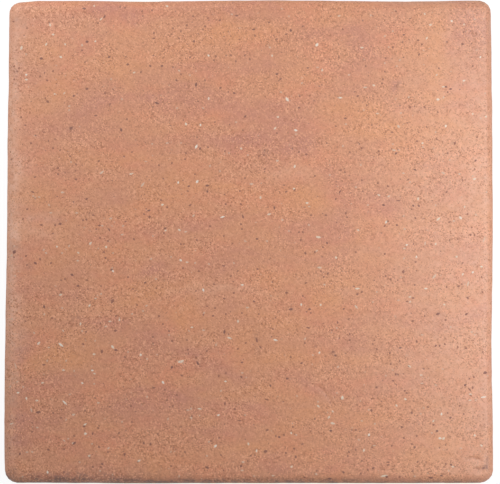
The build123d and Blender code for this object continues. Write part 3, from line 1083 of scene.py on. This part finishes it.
# Dark grains: specks of iron ore and cinder from the clay bank, the strongest where the picture shows
# them and the rest strewn, thicker towards the left side.
iron_grains = [
    (84.3, 8.2, 4, 2, -8), (237, 15.5, 3.4, 1.8, 0), (104.6, 16.3, 4.2, 2, 50), (254, 29.3, 3.8, 1.8, -5),
    (291, 30, 3, 2.4, 90), (404, 34.7, 2.8, 1.9, 0), (87, 41.7, 3.2, 2.6, 0), (462.8, 44, 2.9, 2.2, 0),
    (109.2, 57, 3, 2.2, 20), (41.2, 58.5, 3.2, 2.6, 0), (127.7, 64.4, 2.8, 2.4, 0), (162, 66, 2.8, 2.2, 0),
    (277, 74, 2.8, 2.2, 0), (196.2, 84.3, 4.2, 2.4, 75), (87, 88.8, 3.2, 2.2, 0), (451, 89, 3.2, 1.8, 0),
    (73.7, 95.8, 2.8, 2.2, 45), (157.2, 103.2, 5.2, 2, -28), (71.2, 128, 4, 2.8, 40),
    (121, 130, 3.4, 2.3, -80), (396.3, 153.4, 3.2, 2.2, 30), (415.3, 169.8, 3.4, 1.8, -30),
    (76, 179.3, 2.8, 1.9, 0), (207.5, 185.7, 4, 2.2, 0), (189, 186.3, 3, 2, 20), (33, 192.3, 4.4, 1.5, -35),
    (383.7, 205.2, 2.9, 2.2, -20), (274.3, 208, 3.6, 1.9, -80), (149, 210.6, 3.6, 1.8, 10),
    (60.2, 224, 3.4, 2.3, 0), (99.5, 225.6, 2.8, 2, 0), (165.3, 228.4, 3, 2.2, 30), (257, 239, 2.6, 2, -20),
    (327, 243, 2.7, 2.1, -70), (14, 252, 3.8, 3.2, 60), (35.2, 263.3, 3.6, 2.4, -45),
    (111.7, 270, 3.4, 1.8, 0), (72, 275, 3.6, 2.2, -35), (145.3, 282.7, 2.9, 1.8, 30), (78, 286, 2.9, 2, 0),
    (44, 307, 3.8, 2.2, -80), (291.3, 309.4, 4.4, 2.4, 0), (309.7, 309.4, 2.8, 2, 0),
    (438.4, 314, 4.4, 2.6, 20), (466.8, 314.2, 3.4, 2.2, 30), (224.6, 331.7, 4.4, 2.2, 80),
    (400.5, 348, 2.9, 2, 5), (115.8, 350.3, 3.4, 2.4, -10), (335.4, 355.7, 2.8, 2.2, -40),
    (242, 362.6, 2.9, 2, 0), (301.8, 363.3, 2.9, 1.9, 15), (197.8, 363.7, 4.4, 2.2, -65),
    (172, 367.4, 2.9, 2.4, 60), (486, 373, 3.6, 3, 0), (287.3, 378.8, 2.8, 2.3, 0),
    (465.5, 385.3, 2.9, 2.4, 20), (270.4, 386, 2.7, 1.7, -70), (38.5, 412.7, 5, 2.6, 0),
    (84, 426.7, 3, 2.4, -20), (331, 431, 3, 2.4, 0), (437.3, 431.3, 2.9, 2.2, 0),
    (74.5, 443.3, 4.6, 2.4, 40), (143.6, 443.5, 3, 1.8, -80), (150.5, 444, 3.4, 1.8, 70),
    (451.4, 465, 2.8, 2, -20), (241, 466.3, 2.7, 2.3, -50), (207.3, 468, 4, 2.3, -30),
    (441.7, 476, 2.8, 2.1, 0), (387, 477.7, 3, 2.3, -35), (431.4, 479.3, 4.6, 2.3, -5),
    (330, 480.6, 4.4, 2.2, 0),
]
round_iron = [
    (194, 41.2), (176.4, 80), (446, 86.5), (234.2, 92.8), (245.4, 116.3), (200.2, 148.5), (476, 160.5),
    (207.6, 191.4), (86.7, 199), (413.5, 205.5), (419.2, 205.7), (397.2, 225), (471, 234.8), (305.4, 253),
    (105.7, 258), (357.6, 294.4), (468, 297.7), (254, 301.3), (440, 345.7), (412, 412.7), (450.7, 417.8),
    (279.4, 437), (415, 447.4), (19.8, 454.2), (296, 457), (102, 464), (343.6, 472.5),
]
cinder_grains = [
    (286.4, 34, 3, 1.6, 0), (154, 38.3, 3.2, 1.8, 0), (419.4, 54.2, 3, 1.9, 55), (150.2, 66, 2.8, 2, -60),
    (308, 67.8, 2.8, 1.8, 0), (280.8, 78.8, 3, 2, 30), (220.5, 87.8, 3.2, 2, 40),
    (47.4, 101.6, 3.4, 2.4, -40), (299.2, 107.7, 2.8, 2.2, 0), (96, 115.5, 3.6, 1.8, 0),
    (345.7, 118.4, 3.2, 2, 0), (455.2, 143, 3.2, 2.6, 60), (306.5, 154.5, 2.8, 2.2, 0),
    (408.6, 179.5, 3.2, 1.6, 30), (340.3, 191.4, 3.4, 1.5, 45), (286.4, 191.7, 3.4, 1.7, 25),
    (399.4, 200.7, 6, 1.3, 0), (190.5, 205, 3.8, 1.6, 25), (149.6, 217, 2.8, 2.2, 0),
    (243, 217, 4.4, 1.8, -75), (415.6, 218.2, 2.8, 1.8, -60), (86.2, 219.6, 2.5, 2, -70),
    (125.8, 221.5, 3, 1.5, 20), (41.5, 225, 2.8, 1.8, 0), (109, 230, 3.2, 1.8, -65),
    (257.7, 269.2, 2.6, 2, -20), (403.7, 271.7, 3.4, 2.8, 70), (328, 273.5, 2.6, 2.2, 60),
    (459, 286.3, 3.2, 2, 0), (286.6, 292.8, 2.8, 2.1, 0), (413.5, 298.2, 3.2, 1.7, 0),
    (224.6, 298.8, 3, 1.8, 0), (112.7, 301, 5, 2.6, 60), (407.5, 301.5, 3, 1.8, 0),
    (203.5, 314.5, 2.6, 1.7, 80), (213.2, 316, 2.8, 1.8, 0), (412.9, 321.2, 2.8, 1.8, 0),
    (337.6, 322.6, 2.7, 1.9, -80), (308.6, 328, 4.6, 1.5, -20), (115.5, 330.8, 3.2, 2.4, 0),
    (256.8, 341, 6, 1.8, -80), (416.7, 341.6, 2.8, 1.8, -80), (436, 346, 2.8, 1.9, 30),
    (260.4, 347.6, 3.6, 1.6, -60), (466.4, 348.5, 3, 1.6, 0), (102, 351.4, 4, 2.8, 80),
    (333.3, 352, 3, 2, 0), (44, 365, 3.6, 1.8, 0), (396, 374.2, 2.7, 2.1, 80),
    (181.8, 375.8, 3.4, 1.8, -35), (241.4, 377.4, 3.4, 1.8, -55), (393.4, 381, 3, 1.7, -15),
    (376.8, 387.5, 2.6, 2.2, 40), (473, 387.7, 3, 2, 80), (154, 388, 4, 1.8, 0), (470, 390, 5.4, 1.6, -50),
    (267, 399.6, 4, 1.3, 0), (225.2, 403.4, 4, 2, 80), (371.7, 410.5, 3, 2.4, 80),
    (85, 410.8, 2.6, 1.8, 85), (239.8, 420.8, 4.4, 1.5, -5), (402, 427.3, 2.7, 2, -20),
    (267.5, 430.3, 3.4, 2, 0), (92.7, 433.8, 2.6, 2, 80), (302.7, 444.3, 3.2, 1.5, 0),
    (294.3, 449, 2.5, 1.9, -30), (48.2, 450, 3, 2.4, -40), (265.8, 451.7, 4.6, 2.8, 10),
    (124.7, 454.4, 3.4, 2.4, 60), (388.5, 462.5, 3.4, 1.6, 0), (388.5, 465.2, 3.4, 1.6, 0),
    (373.4, 468.5, 2.8, 2.2, 30), (412.7, 471.5, 3, 2, 0), (64, 472.3, 3, 2, 80),
]
cinder_crumbs = [
    (269, 22), (27, 28), (464, 32), (82, 50), (141, 72), (181, 74), (44, 132), (31, 143), (76, 164),
    (295, 190), (363, 191), (161, 200), (167, 207), (412, 209), (164, 233), (134, 239), (108, 241),
    (26, 256), (462, 284), (234, 293), (207, 306), (215, 308), (111, 311), (86, 332), (153, 337),
    (246, 343), (83, 344), (390, 353), (165, 390), (407, 393), (173, 406), (192, 416), (16, 419), (32, 423),
    (434, 425), (284, 435), (417, 436), (64, 449), (356, 450), (349, 452), (286, 453), (221, 455),
    (248, 461), (446, 464), (101, 467), (93, 467), (317, 471), (50, 479), (11, 21), (73, 17), (98, 23),
    (85, 62), (125, 7), (120, 6), (142, 11), (152, 10), (154, 33), (53, 71), (113, 89), (105, 93),
    (153, 107), (110, 104), (25, 125), (21, 117), (20, 108), (55, 139), (60, 150), (70, 156), (53, 148),
    (40, 76), (47, 80), (127, 119), (132, 152), (99, 161), (159, 165), (58, 168), (9, 159), (13, 66),
    (19, 68), (17, 71), (13, 79), (193, 16), (208, 18), (220, 20), (187, 25), (173, 28), (181, 31),
    (203, 29), (205, 26), (179, 38), (255, 35), (277, 39), (303, 26), (190, 57), (216, 56), (214, 60),
    (236, 61), (250, 59), (231, 55), (245, 55), (205, 80), (215, 122), (197, 137), (186, 153), (172, 163),
    (185, 159), (265, 150), (264, 155), (259, 156), (299, 152), (327, 143), (277, 133), (208, 147),
    (243, 130), (198, 101), (225, 151), (300, 96), (343, 29), (339, 57), (366, 66), (386, 58), (393, 47),
    (439, 68), (383, 79), (382, 83), (448, 92), (410, 107), (425, 107), (336, 126), (362, 148), (417, 141),
    (437, 139), (379, 151), (350, 152), (448, 153), (473, 66), (358, 96), (367, 105), (372, 125),
    (438, 112), (392, 132), (396, 11), (418, 40), (422, 44), (58, 174), (35, 177), (144, 214), (27, 209),
    (23, 219), (55, 225), (83, 220), (93, 215), (100, 238), (40, 259), (27, 265), (51, 263), (104, 252),
    (65, 279), (61, 280), (128, 277), (87, 280), (101, 286), (137, 305), (116, 316), (77, 298), (61, 292),
    (52, 318), (25, 321), (159, 316), (163, 324), (123, 320), (13, 324), (195, 174), (188, 191), (245, 178),
    (265, 169), (226, 204), (241, 204), (284, 185), (240, 191), (241, 224), (210, 226), (224, 236),
    (242, 229), (311, 215), (315, 176), (326, 215), (299, 232), (303, 232), (301, 240), (323, 247),
    (315, 252), (197, 240), (181, 244), (224, 266), (183, 268), (199, 271), (238, 271), (231, 276),
    (306, 283), (321, 271), (324, 277), (214, 284), (196, 291), (303, 296), (311, 313), (226, 314),
    (242, 313), (259, 314), (362, 180), (341, 170), (345, 172), (336, 199), (378, 183), (388, 186),
    (385, 226), (388, 221), (447, 192), (475, 169), (463, 180), (346, 213), (347, 217), (468, 214),
    (472, 227), (475, 235), (458, 239), (450, 240), (450, 222), (385, 254), (356, 252), (416, 262),
    (391, 279), (386, 276), (415, 285), (463, 263), (447, 287), (362, 292), (482, 277), (483, 292),
    (425, 316), (446, 320), (349, 319), (344, 309), (153, 343), (125, 357), (131, 406), (110, 407),
    (95, 398), (53, 413), (61, 418), (98, 428), (74, 436), (119, 433), (132, 422), (32, 432), (8, 448),
    (99, 447), (108, 452), (32, 477), (38, 477), (158, 434), (169, 331), (172, 341), (187, 340), (188, 350),
    (207, 351), (238, 349), (196, 357), (273, 329), (332, 330), (305, 343), (291, 357), (226, 373),
    (219, 376), (177, 395), (167, 400), (235, 409), (276, 436), (293, 427), (251, 456), (211, 441),
    (185, 452), (305, 479), (171, 466), (315, 419), (350, 334), (350, 340), (377, 349), (413, 321),
    (373, 344), (445, 344), (458, 347), (391, 364), (400, 361), (405, 391), (474, 377), (471, 395),
    (460, 406), (464, 414), (448, 413), (428, 407), (369, 436), (356, 430), (404, 438), (412, 444),
    (392, 446), (348, 456), (446, 445), (368, 470), (418, 462), (361, 474), (400, 478), (362, 461),
]

dark_grain = grain_material(
    "dark_grain",
    [(0.36, 0.155, 0.100, 1), (0.24, 0.110, 0.088, 1), (0.12, 0.075, 0.075, 1), (0.065, 0.060, 0.070, 1)],
    0.60, 0.85,
)
picked_dark = [
    (0.43, 2.5, iron_grains),
    (0.39, 2.4, round_iron),
    (0.25, 2.3, cinder_grains),
    (0.11, 2.2, cinder_crumbs),
]
dark_grains = grain_piece("dark_grains", dark_grain, picked_dark, {
    "Share Name": "dark_share", "Grains per Square Metre": 11000.0, "Shortest": 0.5 * mm, "Longest": 1.3 * mm,
    "Crowding of Small": 2.0, "Strongest Tone": 0.28, "Thickness": 0.16, "Seed": 8,
})
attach(dark_grains, "root")
